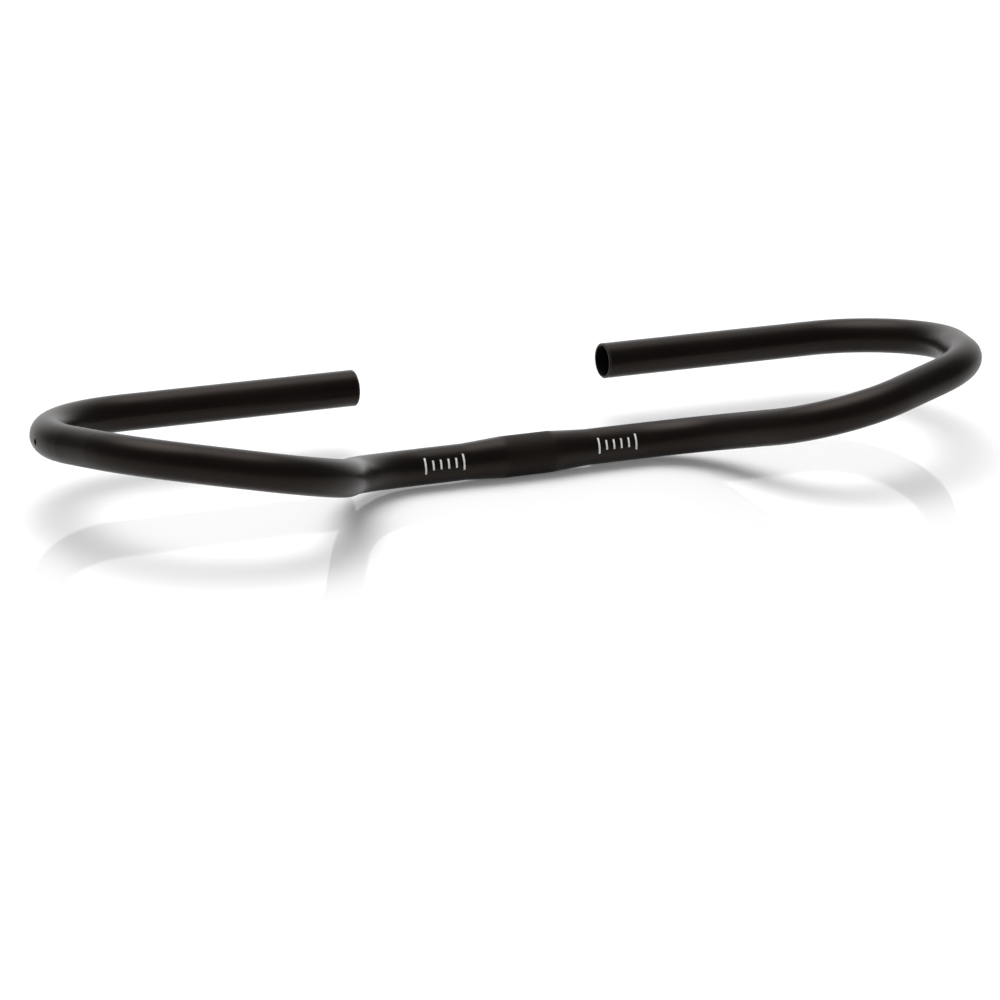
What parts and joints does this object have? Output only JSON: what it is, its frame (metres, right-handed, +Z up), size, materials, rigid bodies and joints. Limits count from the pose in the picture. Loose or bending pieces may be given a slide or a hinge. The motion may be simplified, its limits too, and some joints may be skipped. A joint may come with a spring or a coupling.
{
  "type": "multi-position handlebar",
  "caption": "Bent aluminium tube handlebar of the butterfly kind, with a wider stem clamp in the middle and open ends that face each other behind it.",
  "frame": {"origin": "centre of the stem clamp, on its axis", "axes": "+X along the clamp axis, +Y from the clamp towards the rider and the open ends, +Z up as pictured"},
  "size_m": [0.612, 0.179, 0.0742],
  "materials": {
    "black_anodised": "satin black anodised over a fine blasted surface"
  },
  "bodies": {
    "root": {"handlebar": "black_anodised"}
  },
  "joints": []
}
